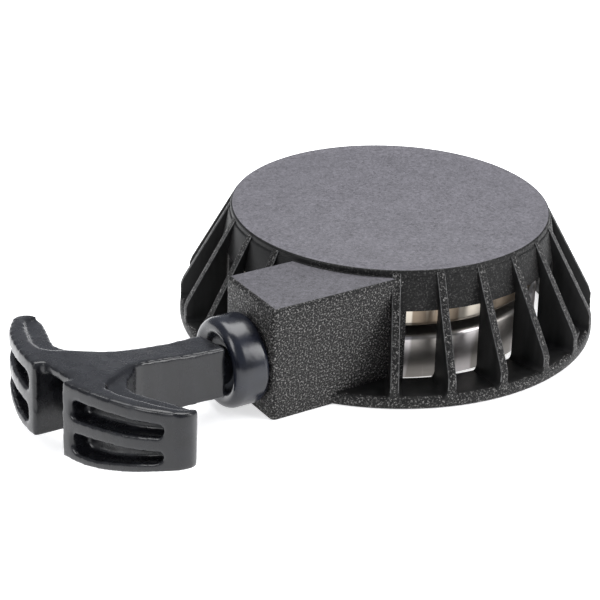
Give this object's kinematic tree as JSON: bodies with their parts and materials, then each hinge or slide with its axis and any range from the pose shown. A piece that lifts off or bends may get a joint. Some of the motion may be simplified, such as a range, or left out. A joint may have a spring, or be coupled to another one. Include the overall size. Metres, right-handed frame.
{
  "type": "recoil starter",
  "caption": "Ribbed round recoil starter with a T-handle on a rope, a sprung steel rope reel and swing-out pawls for a small two-stroke engine.",
  "frame": {"origin": "centre of the cover's flat round top, on the crank axis; the engine face lies 33.4 mm below it", "axes": "+Z along the crank axis, away from the engine; the rope is pulled out along -X, beside the axis on the -Y side"},
  "size_m": [0.182, 0.1304, 0.0334],
  "materials": {
    "cover_nylon": "spark-eroded grain, glass-filled nylon",
    "guide_plastic": "gloss",
    "handle_plastic": "semi-gloss",
    "hub_nylon": "natural nylon",
    "reel_steel": "bright zinc plate",
    "fastener_steel": "zinc plate",
    "pawl_steel": "hardened, oiled",
    "spring_steel": "blued spring steel",
    "bush_bronze": "sintered bronze",
    "rope": "braided polyester"
  },
  "bodies": {
    "cover": {"housing": "cover_nylon", "rope_guide": "guide_plastic", "retaining_washer": "fastener_steel", "centre_screw": "fastener_steel", "friction_spring": "spring_steel", "post_bush": "bush_bronze"},
    "reel": {"spring_cup": "reel_steel", "ratchet_cup": "reel_steel", "reel_hub": "hub_nylon", "reel_rivet_1": "fastener_steel", "reel_rivet_2": "fastener_steel", "reel_rivet_3": "fastener_steel", "recoil_spring": "spring_steel", "pawl_pin_1": "fastener_steel", "pawl_pin_2": "fastener_steel", "rope_coil": "rope", "rope_reel_knot": "rope"},
    "pull_handle": {"handle": "handle_plastic", "rope_handle_knot": "rope", "rope_run": "rope"},
    "friction_plate": {"friction_plate": "pawl_steel"},
    "pawl_one": {"pawl_1": "pawl_steel"},
    "pawl_two": {"pawl_2": "pawl_steel"}
  },
  "joints": [
    {"name": "reel_spin", "type": "hinge", "parent": "cover", "child": "reel", "pos_m": [0, 0, -0.019], "axis": [0, 0, -1], "range_deg": [0, 1535], "stiffness_Nm_per_rad": 0.012, "springref_deg": -343.77, "deforming": ["recoil_spring"]},
    {"name": "handle_pull", "type": "slide", "parent": "cover", "child": "pull_handle", "axis": [-1, 0, 0], "range_m": [0, 0.55], "deforming": ["rope_run"]},
    {"name": "plate_turn", "type": "hinge", "parent": "reel", "child": "friction_plate", "pos_m": [0, 0, -0.026], "axis": [0, 0, 1], "range_deg": [0, 28]},
    {"name": "pawl_one_swing", "type": "hinge", "parent": "reel", "child": "pawl_one", "pos_m": [0.024, 0, -0.0235], "axis": [0, 0, 1], "range_deg": [0, 40]},
    {"name": "pawl_two_swing", "type": "hinge", "parent": "reel", "child": "pawl_two", "pos_m": [-0.024, 0, -0.0235], "axis": [0, 0, 1], "range_deg": [0, 40]}
  ],
  "couplings": [
    {"joint": "handle_pull", "follows": "reel_spin", "m_per_rad": 0.0205},
    {"joint": "pawl_one_swing", "follows": "plate_turn", "ratio": 1.4},
    {"joint": "pawl_two_swing", "follows": "plate_turn", "ratio": 1.4}
  ]
}
